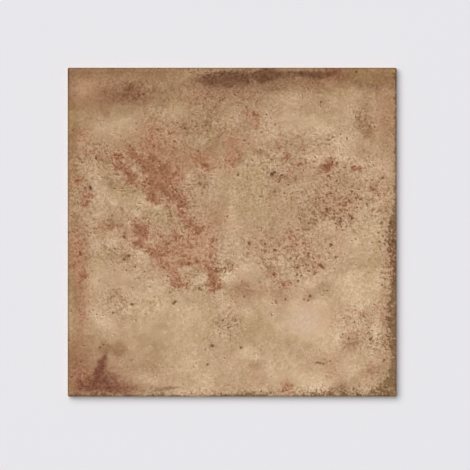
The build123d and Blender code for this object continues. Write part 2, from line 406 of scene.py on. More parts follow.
SHADE = [
    (86, 148, 34, 9, 0.3), (122, -28, 16, 12, 0.2), (-155, -126, 16, 26, 0.32), (70, 118, 40, 14, 0.12),
    (75, 150, 24, 8, 0.15), (156, -154, 14, 12, 0.3), (-80, 50, 60, 26, 0.14), (124, 88, 14, 10, 0.18),
    (0, 168, 190, 34, 0.19), (-160, 114, 34, 46, 0.2), (-124, 124, 14, 6, 0.2), (-30, 88, 50, 18, 0.17),
    (-40, 130, 80, 20, 0.22), (-28, 105, 24, 12, 0.2), (-47, 104, 4, 3, 0.29), (-27, 108, 5, 4, 0.29),
    (0, 80, 8, 13, 0.29), (28, 82, 8, 2.5, -10, 0.29), (24, 110, 6, 8, 0.22), (90, 133, 7, 4, 0.25),
    (134, 114, 7, 20, 0.37), (140, 99, 5, 6, 0.29), (158, 120, 8, 40, 0.35), (48, 86, 7, 4, -20, 0.29),
    (70, 84, 7, 4, 0.29), (68, 68, 7, 4, 0.29), (58, 54, 11, 6, 0.29), (40, 58, 5, 4, 0.29),
    (42, 38, 5, 8, -40, 0.36), (110, 48, 14, 9, 0.22), (98, 28, 22, 10, 0.36), (119, 34, 11, 5, 0.22),
    (145, 42, 9, 4, -45, 0.29), (76, 12, 10, 14, 0.25), (122, 13, 4, 4, 0.36), (109, 10, 4, 9, 0.22),
    (46, -16, 16, 16, 0.05), (40, -38, 6, 6, 0.36), (63, -10, 7, 16, 35, 0.12), (75, -34, 13, 6, 0.29),
    (47, -62, 8, 9, 0.32), (10, -60, 17, 9, 0.4), (-2, -33, 5, 5, 0.25), (10, -48, 8, 3, -40, 0.29),
    (79, -66, 5, 4, 0.5), (92, -34, 4, 3, 0.36), (57, -25, 6, 4, 0.1), (104, -25, 3, 3, 0.29),
    (18, -11, 4, 3, 0.29), (133, -83, 5, 3, 0.36), (112, -87, 9, 3, 0.14), (122, -112, 10, 6, 0.32),
    (78, -114, 4, 3, 0.36), (86, -129, 12, 4, 20, 0.11), (22, -136, 5, 4, 0.36), (110, -157, 5, 4, 0.36),
    (140, -140, 9, 5, 0.32), (-19, -115, 6, 3, 0.25), (-14, -90, 4, 5, 0.22), (-20, -70, 14, 8, 0.14),
    (-70, -95, 7, 3, 0.22), (-120, -65, 5, 5, 0.12), (-60, -72, 4, 2, 0.29), (-114, -119, 6, 8, 0.58),
    (-128, -117, 10, 6, 0.43), (-78, -132, 16, 22, 0.25), (-70, -158, 13, 3, 0.29), (-128, 8, 8, 9, 0.36),
    (-108, -5, 4, 4, 0.36), (-108, -25, 5, 4, 0.36), (-121, -22, 6, 4, 0.25), (-148, 35, 6, 11, 0.22),
    (-130, 70, 7, 8, 0.36), (-125, 52, 4, 10, 20, 0.25), (-158, 60, 12, 60, 0.3),
    (-157, -40, 10, 50, 0.5), (-154, -118, 10, 14, 0.22), (-85, 90, 24, 20, 0.22),
    (-75, 60, 38, 30, -30, 0.25), (-25, 20, 20, 30, 0.2), (-60, -20, 26, 22, 0.2),
    (-35, 76, 14, 10, 0.24), (-25, 48, 6, 8, 0.25), (150, 158, 22, 9, 0.6), (115, 160, 24, 8, 0.6),
    (-120, 160, 60, 6, 0.5), (-164, 118, 6, 44, 0.8), (-163, -148, 7, 20, 0.4), (-150, 130, 20, 6, 0.3),
    (160, -60, 8, 80, 0.3), (-24, 86, 28, 30, 0.13), (-124, 10, 16, 26, 0.1), (90, -58, 14, 8, 0.15),
    (116, 132, 13, 5, 0.28), (12, 106, 7, 11, 0.26), (-135, -62, 8, 8, 0.17), (-88, -67, 7, 7, 0.2),
    (-84, 156, 14, 6, 0.4), (-70, 14, 14, 7, 0.25), (-148, -148, 10, 9, 0.25), (26, -42, 16, 7, 0.15),
]

# Where the clay leans to pink, and where it leans to yellow.
ROSE = [
    (-130, 143, 46, 14, 0.7), (156, 126, 12, 38, 0.45), (-10, 143, 46, 12, 0.5),
    (-80, 62, 40, 30, -35, 0.45), (-60, -20, 28, 24, 0.6), (-93, 0, 18, 20, 0.4), (-80, 96, 24, 18, 0.5),
    (-32, 69, 22, 14, 0.5), (0, 80, 8, 24, 0.5), (21, 117, 11, 8, -30, 0.6), (28, 88, 30, 10, 0.25),
    (-154, -50, 11, 50, 0.5), (-156, -130, 12, 40, 0.25), (-130, -150, 36, 18, 0.4),
    (-155, 96, 9, 14, 0.5), (-147, 34, 6, 11, 0.6), (-131, 2, 5, 9, 0.4), (-110, -2, 14, 8, 0.35),
    (-112, -72, 8, 12, -30, 0.3), (-108, -106, 6, 16, 0.3), (-32, -12, 22, 30, 0.5),
    (-22, 12, 20, 22, 0.3), (50, 56, 14, 10, 0.35), (105, 30, 26, 16, 0.35), (92, 62, 38, 30, 0.26),
    (0, -68, 24, 14, 0.25), (108, 4, 26, 16, 0.2), (60, -14, 48, 22, 0.3), (30, -60, 34, 14, 0.3),
    (80, -88, 28, 20, 0.3), (122, -68, 14, 9, 0.3), (-3, -92, 6, 7, 0.4), (100, -140, 12, 20, 0.35),
    (78, -122, 12, 10, 0.3), (119, -104, 7, 18, 0.35), (141, -142, 9, 12, 0.35), (22, -142, 9, 12, 0.35),
    (56, -158, 7, 8, 0.7), (150, -82, 9, 9, 0.4), (156, -30, 8, 16, 0.4), (152, 35, 9, 24, 0.3),
    (148, 45, 8, 10, 0.4), (100, 160, 18, 8, 0.5), (80, 128, 14, 6, 0.25), (-1, -36, 7, 7, 0.4),
    (124, 14, 7, 7, 0.4), (-55, -48, 10, 12, 0.4),
]
OCHRE = [
    (30, -92, 24, 14, 0.5), (20, 126, 14, 5, 0.5), (84, 127, 10, 4, 0.4), (-76, 18, 18, 9, 0.6),
    (95, -67, 12, 6, 0.45), (-30, -58, 60, 26, 0.22), (-100, 37, 16, 8, 0.5), (-113, 45, 12, 8, 0.4),
    (-163, 108, 4, 26, 0.45), (-163, -72, 4, 26, 0.8), (20, 42, 34, 24, 0.45), (40, 66, 14, 6, 0.3),
    (158, -156, 14, 12, 0.7), (146, 158, 26, 9, 0.5), (-130, 68, 8, 7, 0.5), (-60, 128, 26, 7, 0.35),
    (92, 117, 20, 8, 0.4), (112, 140, 18, 7, 0.34), (120, 92, 24, 8, 0.3), (-90, -28, 6, 6, 0.5),
    (-136, -27, 6, 6, 0.5), (85, -108, 20, 7, 0.15), (20, -125, 6, 6, 0.4), (-60, -105, 60, 26, 0.3),
    (125, -50, 30, 20, 0.25), (135, -5, 18, 22, 0.35), (-33, -50, 8, 10, 0.4), (-115, 112, 30, 10, 0.3),
    (-28, 96, 8, 7, 0.4), (-44, 58, 5, 9, 0.4), (148, -112, 12, 12, 0.4), (115, -143, 10, 8, 0.3),
    (-160, -162, 8, 5, 0.5), (2, -15, 8, 8, 0.3),
]

# Stretches that are peppered with grain and specks, and smooth ones where both fade.
SPECKLE = [
    (25, 45, 30, 30, 0.3), (-10, 138, 40, 9, 0.5), (-104, 144, 22, 12, 0.4), (-140, 100, 24, 20, 0.15),
    (100, 28, 34, 22, 0.9), (60, -22, 42, 26, 0.7), (-40, 108, 42, 18, 0.55), (58, 70, 36, 12, 10, 0.7),
    (115, 60, 26, 12, 0.5), (-145, 75, 18, 14, 0.45), (-80, 60, 46, 34, -30, 0.2),
    (-150, 40, 12, 14, 0.6), (-60, -15, 40, 30, 0.4), (-110, -20, 28, 20, 0.5), (128, -95, 24, 22, 0.6),
    (152, -100, 12, 20, 0.6), (158, -30, 9, 60, 0.8), (100, -162, 68, 6, 0.9), (-30, -163, 60, 4, 0.6),
    (0, 161, 36, 7, 0.8), (-30, 50, 13, 12, 0.6), (-5, -36, 9, 7, 0.8), (-4, -95, 13, 12, 0.6),
    (92, 96, 22, 10, 0.5), (-40, -50, 34, 10, 0.4), (-105, -76, 30, 12, 0.35), (130, 115, 12, 14, 0.5),
    (-150, 20, 14, 60, 0.3), (-112, 66, 24, 16, -30, 0.5), (-50, 20, 30, 22, -30, 0.5),
    (-20, -44, 14, 18, 0.5), (26, 118, 22, 12, 0.35), (48, 94, 22, 14, 0.5), (124, 68, 30, 12, 0.45),
    (147, 38, 14, 16, 0.8), (130, 14, 22, 14, 0.55), (70, 42, 16, 12, 0.3), (-95, 14, 14, 10, 0.4),
    (-122, 22, 14, 24, 0.35), (-118, -68, 14, 10, 0.5), (-13, -12, 14, 14, 0.4), (-10, -68, 12, 10, 0.4),
    (148, -148, 14, 12, 0.35), (-148, -150, 8, 8, 0.3), (96, 14, 12, 10, 0.3), (144, -12, 12, 12, 0.3),
]
CALM = [
    (-132, 120, 40, 30, 0.3), (-44, 118, 16, 12, 0.4), (74, -90, 22, 16, 0.8), (148, -92, 12, 10, 0.4),
    (-84, -108, 34, 20, 0.4), (-116, -42, 20, 12, 0.3), (-68, -44, 12, 8, 0.3), (16, -42, 14, 8, 0.4),
    (-146, -118, 14, 12, 0.3), (-96, -14, 12, 10, 0.2), (30, -94, 30, 12, 0.2), (60, -148, 24, 8, 0.2),
    (62, 110, 26, 11, 0.3),
]

# Single dark pinholes: centre x and y, radius and strength.
PINHOLES = [
    (109, 11, 1.5, 0.8), (115, 6, 1.4, 0.8), (112, 2, 1.4, 0.7), (106, 3, 1.2, 0.7), (118, 10, 1.3, 0.8),
    (121, 6, 1.3, 0.6), (99, 13, 1.3, 0.7), (103, 18, 1.4, 0.8), (95, 17, 1.3, 0.7), (90, 14, 1.2, 0.6),
    (99, 25, 1.3, 0.7), (111, 21, 1.4, 0.8), (116, 27, 1.3, 0.6), (84, 22, 1.2, 0.6), (93, 31, 1.2, 0.6),
    (40, 58, 2, 1), (43, 60.5, 1.6, 1), (6, 58, 1.8, 0.7), (28, 83, 2, 0.6), (31, 81, 1.6, 0.5),
    (26, 79, 1.4, 0.5), (40, 73.5, 1.2, 0.6), (17, 89, 1.4, 0.5), (44, 109, 1.6, 0.7), (30, 101, 2, 0.5),
    (76, 88, 1.5, 0.5), (92, 93, 2, 0.4), (102, 97, 2, 0.5), (57, 48, 1.2, 0.8), (50, 58, 3, 0.5),
    (48, 52, 2, 0.5), (98, 57, 2, 0.6), (106, 52, 1.4, 0.8), (61, 39.5, 1.5, 0.6), (44, 41, 2, 0.5),
    (45, 38, 1.5, 0.5), (100, 37, 1.4, 0.6), (96, 23, 1.8, 0.9), (92, 20, 2, 0.6), (88, 27, 1.5, 0.6),
    (81, 31, 1.2, 0.5), (126, 25, 1.5, 0.6), (126, 35, 2, 0.7), (130, 33, 2, 0.6), (121, 41, 1.5, 0.7),
    (122, 46, 1.6, 0.6), (143, 43, 1.6, 0.6), (152, 54.5, 1.4, 0.6), (151, 9, 2, 0.9), (78, 9, 1.5, 0.9),
    (78, 2.5, 1.4, 0.6), (104, 15, 1.6, 0.6), (105, 9, 1.6, 0.6), (111, 6, 1.4, 0.5), (122, 14, 2.2, 0.7),
    (17, -11.5, 1.8, 0.9), (33, -12, 1.6, 0.8), (43, -18, 2, 0.8), (56, -18, 1.4, 0.8),
    (59, -26.5, 1.6, 0.9), (65, -27, 1.5, 0.9), (77, -22, 2.2, 0.8), (83, -27, 1.5, 0.7),
    (85, -20, 1.4, 0.6), (100, -13, 1.8, 1), (97, -14, 1.2, 0.4), (103, -24, 1.8, 0.5),
    (105, -26, 1.6, 0.8), (113, -26, 1.3, 0.5), (119, -30, 1.4, 0.5), (66, -36, 1.8, 0.7),
    (72, -34, 1.6, 0.7), (62, -40, 1.5, 0.6), (66, -43, 2, 0.7), (70, -44, 1.5, 0.6), (67, -49, 1.8, 0.8),
    (84, -41.5, 1.8, 0.9), (89, -34, 3, 0.5), (96, -59, 1.4, 0.8), (79, -65, 2, 0.7), (73, -68, 1.8, 0.7),
    (77, -69, 1.4, 0.9), (54, -68, 1.8, 0.7), (40, -83, 1.5, 0.6), (9, -117, 1.6, 0.9),
    (43, -50, 1.6, 0.6), (28, -50, 1.4, 0.5), (33, -52, 1.6, 0.6), (10, -50, 1.8, 0.6),
    (113, -87, 1.8, 0.6), (124, -91, 1.6, 0.6), (126, -79, 1.5, 0.5), (133, -85, 2.4, 0.5),
    (112, -103, 1.8, 0.5), (118, -107, 1.6, 0.6), (140, -108, 2, 0.7), (152, -54, 1.8, 0.7),
    (149, -10, 1.8, 0.7), (154, -129, 1.8, 0.6), (135, -131, 1.4, 0.5), (86, -132, 1.4, 0.7),
    (89, -132.5, 1.4, 0.7), (92, -133, 1.4, 0.7), (-20, -115, 1.8, 0.9), (-25, -134, 1.5, 0.9),
    (-59, -72, 2, 0.9), (-57, -70, 1.4, 0.8), (-101, -73, 1.8, 0.9), (-109, -5, 1.8, 0.9),
    (-128, -84, 2, 0.5), (-105, -48, 1.2, 0.5), (-40, -52, 1.2, 0.7), (-33, -57, 1.8, 0.8),
    (-62, -61, 2, 0.6), (-14, -91, 1.4, 0.5), (-9, -89, 1.4, 0.7), (-4, -97, 1.8, 0.6),
    (-7, -37, 1.4, 0.5), (1, -34, 1.4, 0.5), (-98, -35, 1.8, 0.6), (-89, -40, 2, 0.6),
    (-104, -24, 2, 0.6), (-109, -28, 1.8, 0.7), (-130, -66, 1.6, 0.5), (-130, -114, 1.6, 0.7),
    (-134, -117, 1.6, 0.6), (-97, 110, 1.2, 0.7), (-129, 91, 1.2, 0.8), (-112, 97, 1.2, 0.5),
    (-113, 25, 1.2, 0.6), (-97, 26, 1.2, 0.7), (-163, 17, 1.2, 0.7), (-121, 151, 1.2, 0.5),
    (-105, 144, 1.3, 0.5), (-103, 148, 1.2, 0.4), (90, 132, 1.4, 0.9), (126, 162, 1.6, 0.8),
    (137, 162, 1.3, 0.6), (-48, 105, 1.6, 0.7), (-45, 101, 1.5, 0.6), (-27, 108, 1.8, 0.6),
    (-58, 92, 1.8, 0.6), (-34, 82, 1.4, 0.6), (-143, 45, 1.6, 0.6), (-65, -11, 1.6, 0.8),
    (-110, 137, 1.6, 0.4), (64, 143, 1.5, 0.4),
]


def dots(x, y, marks):
    """Coverage of round marks, 0 to 1: the strongest of strength times exp(-(d / radius)^2), where
    d is the distance from a mark's centre. A mark ends four radii out."""
    cover = np.zeros(x.shape)
    for centre_x, centre_y, radius, strength in marks:
        near = (np.abs(x - centre_x) < 4 * radius) & (np.abs(y - centre_y) < 4 * radius)
        distance = (x[near] - centre_x) ** 2 + (y[near] - centre_y) ** 2
        cover[near] = np.maximum(cover[near], strength * np.exp(-distance / radius**2))
    return cover


prints = {
    "rust": spots(RUST),
    "umber": spots(UMBER),
    "maroon": spots(MAROON),
    "tone": spots(PALE) - spots(SHADE),
    "rose": spots(ROSE) - spots(OCHRE),
    "speckle": spots(SPECKLE) - spots(CALM),
    "pinholes": dots(plan_x, plan_y, PINHOLES),
}

# Dark, ragged bands where the print imitates a worn edge: the place along the side and the width
# of the band there, in millimetres, up the right edge and along the bottom.
RIGHT_BAND = [
    (-166, 24), (-152, 14), (-142, 7), (-125, 5.5), (-115, 8), (-100, 9), (-88, 11.5), (-78, 10),
    (-60, 6.5), (-45, 5.2), (-30, 7), (-18, 9.5), (-5, 9.5), (3, 8.5), (10, 6.8), (20, 5), (27, 4),
    (31, 2), (60, 2.5), (112, 2.5), (166, 2),
]
BOTTOM_BAND = [
    (-166, 4), (-105, 3), (-85, 1.5), (-75, 3.5), (-60, 3), (-50, 0.5), (-30, 0.6), (-22, 1.5), (-8, 2.5),
    (2, 2), (6, 4.5), (30, 3.5), (42, 1.2), (52, 0.8), (60, 1.5), (72, 4), (90, 4), (100, 6.2),
    (112, 6.6), (122, 4.4), (140, 6), (150, 11), (166, 18),
]
BAND_FADE = 5.0
NARROW_BAND = 2.0
RAGGEDNESS, RAG_SIZE = 4.0, 9.0
BOTTOM_STRENGTH = 0.8


def band(along, inset, widths):
    """Coverage of an edge band, 0 to 1: the width runs straight between the places given, and the
    cover falls in a straight line round the inset that equals it. A narrow band is fainter."""
    place, width = np.array(widths).T
    reach = np.interp(along, place, width)
    return np.clip((reach - inset) / BAND_FADE + 0.5, 0, 1) * np.clip(reach / NARROW_BAND, 0, 1)


ragged_x = plan_x + RAGGEDNESS * (cloud(plan_x, plan_y, RAG_SIZE, 21) - 0.5)
ragged_y = plan_y + RAGGEDNESS * (cloud(plan_x, plan_y, RAG_SIZE, 22) - 0.5)
right = band(ragged_y, HALF_SIDE - ragged_x, RIGHT_BAND)
bottom = band(ragged_x, HALF_SIDE + ragged_y, BOTTOM_BAND)
prints["edge"] = np.maximum(right, BOTTOM_STRENGTH * bottom)

# A thin line of painted shade follows the arris all round, strongest along the left and the top.
# It turns fainter over 40 mm in the two corners between them and the other sides.
RIM_LINE, RIM_FADE = 0.7, 0.9
RIM_FAINTEST = 0.45
RIM_TURN = 40.0
facing = np.clip((plan_y - plan_x) / RIM_TURN + 0.5, 0, 1)
rim_strength = RIM_FAINTEST + (1 - RIM_FAINTEST) * facing
prints["rim"] = rim_strength * np.exp(-(((edge_distance - RIM_LINE) / RIM_FADE).clip(0) ** 2))

# The relief. The punch carries a faint stone texture, so the face rolls by up to about 0.2 mm, and
# the pinholes and the worn rim dip below it. Nothing stands above the face of the CAD solid.
SWELL_DEPTH, SWELL_SIZE = 0.16, 70.0
STONE_DEPTH, STONE_SIZE = 0.1, 11.0
PINHOLE_DEPTH = 0.1
RIM_WEAR_DEPTH, RIM_WEAR_SIZE = 0.18, 12.0
RIM_WEAR_WIDTH = 3.0
swell = cloud(plan_x, plan_y, SWELL_SIZE, 1, 3)
stone = cloud(bend_x, bend_y, STONE_SIZE, 2, 3)
rim_wear = np.exp(-((edge_distance / RIM_WEAR_WIDTH) ** 2)) * cloud(plan_x, plan_y, RIM_WEAR_SIZE, 3)
on_face = np.arange(len(points)) < count * count
relief = SWELL_DEPTH * swell + STONE_DEPTH * stone
relief += PINHOLE_DEPTH * prints["pinholes"] + RIM_WEAR_DEPTH * rim_wear
relief -= relief[on_face].min()
points[on_face, 2] -= relief[on_face]

# The finished slab: one closed mesh, with the print's shares on its points.
tile_mesh = bpy.data.meshes.new("pressed_tile")
tile_mesh.from_pydata((points * MM).tolist(), [], faces)
for name, cover in prints.items():
    tile_mesh.attributes.new(name, "FLOAT", "POINT").data.foreach_set("value", cover)
tile_mesh.shade_smooth()

# The map that the looks are baked to: the face first, as large as fits, with the four walls as
# strips above it and the back in the column beside it. Over a rim it follows the surface.
FACE_SHARE = 0.73
BACK_SHARE = 0.245
MAP_GAP = 0.006
rim_steps = np.hypot(np.diff(profile_x), np.diff(profile_z))
rim_run = profile_x[0] + np.concatenate([[0], np.cumsum(rim_steps)])
line_run = np.interp(np.abs(lines), profile_x, rim_run) * np.sign(lines)
line_place = MAP_GAP + FACE_SHARE * (line_run / line_run[-1] + 1) / 2
map_scale = FACE_SHARE / (2 * line_run[-1])
row, column = face_quads // count, face_quads % count
face_map = np.stack([line_place[row], line_place[column]], 2)

ring_steps = np.hypot(
    np.diff(ring_halves, prepend=profile_x[-1]), np.diff(ring_levels, prepend=profile_z[-1]),
)
ring_depth = map_scale * np.concatenate([[0], np.cumsum(ring_steps)])
strip_height = ring_depth[-1] + MAP_GAP
side, step = np.divmod(np.arange(around), last)
strip_foot = FACE_SHARE + 2 * MAP_GAP + side * strip_height
near, far = line_place[step], line_place[step + 1]
upper, lower = ring_depth[:-1, None] + strip_foot, ring_depth[1:, None] + strip_foot
near, far = np.broadcast_to(near, upper.shape), np.broadcast_to(far, upper.shape)
wall_corners = (near, upper), (near, lower), (far, lower), (far, upper)
wall_map = np.stack([np.stack(corner_map, 2) for corner_map in wall_corners], 2)

back_corner = np.array([FACE_SHARE + 2 * MAP_GAP, MAP_GAP])
back_place = back_corner + BACK_SHARE * (points[:, :2] * (-1, 1) / (2 * HALF_SIDE) + 0.5)
back_loops = np.concatenate([
    part.ravel() for part in (border, rib_quads, rib_corners, pocket_walls, pocket_roofs)
])
tile_map = np.concatenate([face_map.reshape(-1, 2), wall_map.reshape(-1, 2), back_place[back_loops]])
tile_mesh.uv_layers.new(name="OFBake").data.foreach_set("uv", tile_map.ravel())


def add_object(name, data):
    """A new object in the scene that holds a mesh, a lamp or a camera."""
    added = bpy.data.objects.new(name, data)
    bpy.context.scene.collection.objects.link(added)
    return added


tile = add_object("pressed_tile", tile_mesh)
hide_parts("floor_tile")
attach(tile, "root")


# The finish. A matt glaze over the print covers the face and the top of the wall, and leaves the
# buff porcelain bare below it and on the back. The print's shares are read from the points, and
# noise on the tile's own coordinates gives what is finer than they are.
class Value:
    """A number, colour or vector in a node tree. Sums, differences and products of values are
    written as Python ones, and add the Math nodes that work them out."""

    def __init__(self, tree, socket):
        self.tree = tree
        self.socket = socket

    def node(self, kind, settings=None, output=0, **inputs):
        """Adds a node with its settings, then gives its inputs their values or links. An input's
        keyword is the socket's name with _ for a space, or its number after i."""
        added = self.tree.nodes.new(kind)
        for setting, value in (settings or {}).items():
            setattr(added, setting, value)
        for name, value in inputs.items():
            key = int(name[1:]) if name[1:].isdigit() else name.replace("_", " ")
            if isinstance(value, Value):
                self.tree.links.new(value.socket, added.inputs[key])
            else:
                added.inputs[key].default_value = value
        return Value(self.tree, added.outputs[output])

    def maths(self, operation, first, second):
        """A Math node's result for two values or numbers."""
        return self.node("ShaderNodeMath", {"operation": operation}, i0=first, i1=second)

    def __add__(self, other):
        return self.maths("ADD", self, other)

    __radd__ = __add__

    def __sub__(self, other):
        return self.maths("SUBTRACT", self, other)

    def __rsub__(self, other):
        return self.maths("SUBTRACT", other, self)

    def __mul__(self, other):
        return self.maths("MULTIPLY", self, other)

    __rmul__ = __mul__

    def between(self, low, high):
        """0 below low, 1 above high, and a smooth step from one to the other."""
        settings = {"interpolation_type": "SMOOTHSTEP"}
        return self.node("ShaderNodeMapRange", settings, Value=self, From_Min=low, From_Max=high)

    def mix(self, ground, coat):
        """ground where this value is 0 and coat where it is 1, as colours."""
        settings = {"data_type": "RGBA", "clamp_factor": True}
        return self.node("ShaderNodeMix", settings, output=2, i0=self, i6=ground, i7=coat)

    def darken(self, amount, shares=(0.74, 1, 1.45)):
        """This colour divided by 1 plus the amount times each channel's share. The blue's is the
        largest, so that what darkens stays brown. A negative amount lightens."""
        settings = {"operation": "MULTIPLY_ADD"}
        step = self.node("ShaderNodeVectorMath", settings, i0=amount, i1=shares, i2=(1, 1, 1))
        return self.node("ShaderNodeVectorMath", {"operation": "DIVIDE"}, i0=self, i1=step)


def colour(red, green, blue):
    """A linear colour with full alpha from one that is read off a screen, 0 to 255, by the sRGB
    curve: a straight line in the darkest shades, and a power of 2.4 above them."""
    screen = np.array([red, green, blue]) / 255
    linear = np.where(screen <= 0.04045, screen / 12.92, ((screen + 0.055) / 1.055) ** 2.4)
    return (*linear.tolist(), 1.0)


glaze = bpy.data.materials.new("matt_printed_glaze")
glaze.use_nodes = True
tree = glaze.node_tree
shader = Value(tree, tree.nodes["Principled BSDF"].outputs[0])
place = shader.node("ShaderNodeTexCoord", output=3)


def warp(ground, size, reach):
    """Coordinates moved sideways by noise whose cells are `size` mm wide, by up to `reach` mm."""
    noise = shader.node("ShaderNodeTexNoise", output=1, Vector=ground, Scale=1 / (size * MM), Detail=0.0)
    middle = shader.node("ShaderNodeVectorMath", {"operation": "SUBTRACT"}, i0=noise, i1=(0.5, 0.5, 0.5))
    step = shader.node("ShaderNodeVectorMath", {"operation": "SCALE"}, i0=middle, Scale=2 * reach * MM)
    return shader.node("ShaderNodeVectorMath", {"operation": "ADD"}, i0=ground, i1=step)


# A broad warp and a fine one keep every pattern from running straight.
bent = warp(warp(place, 14, 2.2), 4, 0.6)


def grain(size, detail, roughness, offset=(0, 0, 0)):
    """Noise from -0.5 to 0.5, whose cells are `size` mm wide. It is read `offset` metres away, so
    that each noise goes its own way."""
    moved = shader.node("ShaderNodeVectorMath", {"operation": "ADD"}, i0=bent, i1=offset)
    noise = shader.node(
        "ShaderNodeTexNoise",
        Vector=moved, Scale=1 / (size * MM), Detail=float(detail), Roughness=roughness,
    )
    return noise - 0.5


def mark(name):
    """One of the print's shares, as the tile's points hold it."""
    settings = {"attribute_type": "GEOMETRY", "attribute_name": name}
    return shader.node("ShaderNodeAttribute", settings, output=2)


rust, umber, maroon = mark("rust"), mark("umber"), mark("maroon")
tone, rose, speckle = mark("tone"), mark("rose"), mark("speckle")
# The last share is the line of painted shade along the arris.
pinholes, edge, rim = mark("pinholes"), mark("edge"), mark("rim")

# Noise from the broadest to the finest. The flecks are the pocks moved 1.4 mm, so that each dark
# granule has a pale fleck beside it.
broad = grain(60, 1, 0.5)
cloudy = grain(24, 2, 0.6, (0.05, 0.2, 0))
blotch = grain(10, 2, 0.6, (0.31, 0.17, 0))
patch = grain(5.5, 1, 0.5, (0.83, 0.44, 0))
sand = grain(2.9, 1, 0.5, (0.11, 0.53, 0))
dust = grain(1.4, 0, 0.5, (0.71, 0.29, 0))
pocks = grain(2.7, 0, 0.5, (0.47, 0.61, 0))
flecks = grain(2.7, 0, 0.5, (0.471, 0.611, 0))

# Cells with soft edges, each of its own shade, and the lines between smaller cells.
SLAB_SIZE, SLAB_SOFTNESS = 9.0, 0.35
CURL_SIZE = 6.5
cells = shader.node(
    "ShaderNodeTexVoronoi", {"feature": "SMOOTH_F1"}, output=1,
    Vector=bent, Scale=1 / (SLAB_SIZE * MM), Smoothness=SLAB_SOFTNESS,
)
slabs = shader.node("ShaderNodeSeparateColor", Color=cells) - 0.5
cell_lines = shader.node(
    "ShaderNodeTexVoronoi", {"feature": "DISTANCE_TO_EDGE"}, output=0,
    Vector=bent, Scale=1 / (CURL_SIZE * MM),
)

# Crumbs break up outlines. Plates, flakes and hollows are scales of one shade with clear edges.
crumbs = 1.6 * blotch + 1.9 * patch + 1.3 * sand + 0.7 * dust
plates = (0.5 * cloudy + 1.2 * blotch + 0.7 * patch).between(0.08, 0.14) - 0.5
flakes = (slabs + 0.7 * patch + 0.4 * sand).between(0.14, 0.2)
hollows = (slabs + 0.7 * patch + 0.4 * sand).between(-0.14, -0.2)

# The clay lies between a dark and a pale shade, changes in ragged steps as worn layers do, and
# leans to pink or to yellow. The smooth stretches are chalky.
DARK_CLAY, PALE_CLAY = colour(142, 101, 62), colour(211, 180, 145)
PINK_CLAY, YELLOW_CLAY = colour(180, 129, 96), colour(176, 148, 99)
CHALK = colour(206, 176, 150)
lightness = 0.51 + 0.38 * tone + 0.1 * broad + 0.03 * cloudy + 0.02 * blotch
lightness = lightness + 0.1 * patch + 0.05 * slabs
steps = tone + 0.22 * cloudy + 0.25 * blotch + 0.35 * patch
lightness = lightness + 0.06 * steps.between(0.08, 0.14) + 0.06 * steps.between(0.3, 0.38)
lightness = lightness - 0.06 * steps.between(-0.08, -0.14)
lightness = lightness + 0.07 * (tone + 0.3 * crumbs).between(0.22, 0.36)
lightness = lightness - 0.1 * (0.3 * crumbs - tone).between(0.22, 0.36) + 0.05 * plates
lightness = lightness + 0.06 * flakes - 0.05 * hollows
clay = lightness.mix(DARK_CLAY, PALE_CLAY)
drift = cloudy + 0.8 * blotch
warm = 0.02 + 0.7 * rose + 0.34 * cloudy + 0.1 * broad + 0.15 * patch + 0.06 * flakes
warm = warm + 0.09 * drift.between(0.02, 0.08)
clay = (0.85 * warm.between(0, 0.9)).mix(clay, PINK_CLAY)
yellow = -0.7 * rose - 0.35 * cloudy + 0.08 * hollows + 0.14 * drift.between(-0.02, -0.08)
clay = (0.75 * yellow.between(0, 0.9)).mix(clay, YELLOW_CLAY)
chalky = (0.4 * blotch + 0.3 * patch - speckle).between(0.4, 0.75)
clay = (0.7 * chalky).mix(clay, CHALK)

# Rust is a thin wash with chipped, redder patches in it. Umber and maroon are a film with a darker
# core, and the worn bands along two edges are grey-brown.
RUST_WASH, RUST_STAIN = colour(176, 126, 93), colour(161, 107, 75)
UMBER_FILM, UMBER_CORE = colour(112, 70, 34), colour(96, 56, 24)
MAROON_FILM, MAROON_CORE = colour(136, 82, 50), colour(99, 42, 17)
WORN_BAND = colour(132, 102, 70)
chips = 1.5 * blotch + 1.2 * patch + 1.5 * sand + 0.5 * dust
washed = 0.6 * (rust + 0.2 * blotch + 0.2 * patch).between(0, 0.5)
face = washed.mix(clay, RUST_WASH)
stained = 0.62 * (rust + 0.5 * chips - 0.12 * flakes).between(0.46, 0.6)
face = stained.mix(face, RUST_STAIN)
face = (0.9 * (umber + 0.2 * umber * crumbs)).mix(face, UMBER_FILM)
face = (0.65 * (umber + 0.14 * crumbs).between(0.55, 0.95)).mix(face, UMBER_CORE)
face = (0.75 * (maroon + 0.3 * maroon * crumbs)).mix(face, MAROON_FILM)
face = (0.8 * (maroon + 0.12 * crumbs).between(0.55, 1.05)).mix(face, MAROON_CORE)
face = (0.4 * edge).mix(face, WORN_BAND)

# Shading of the print: the rust and the worn bands darken it, pebbles and grain roughen it, pale
# flecks lighten it, and dark granules, curled strokes and pinholes stand out from it. The margin
# of the rust has the most of all these.
LIGHTEST_SHADE = -0.25
DARKEST_GRANULE = 1.6
SPECK_SHARES = (0.7, 1, 1.8)
ragged = rust + crumbs * rust.between(0, 0.4)
margin = rust * (1.1 - rust)
granules = pocks + 0.18 * speckle + 0.06 * margin - 0.04 * rust + 0.5 * blotch + 0.4 * cloudy
pale_flecks = flecks + 0.13 * speckle + 0.25 * margin + 0.1 * edge + 0.4 * blotch + 0.2 * cloudy
curled = (1.4 * patch + 2 * sand + 0.3 * speckle + 0.4 * margin).between(0.4, 0.6)
curls = cell_lines.between(0.12, 0.04) * curled
pebbles = (0.9 * patch + 1.4 * sand + 0.6 * dust).between(-0.2, 0.2) - 0.5
rough = 0.36 + 0.48 * speckle + 0.5 * edge + 0.4 * margin - 0.32 * rust + 0.2 * umber
shade = 0.21 * rust + 0.2 * ragged.between(0.66, 1.15) + 0.15 * slabs * rust.between(0, 0.6)
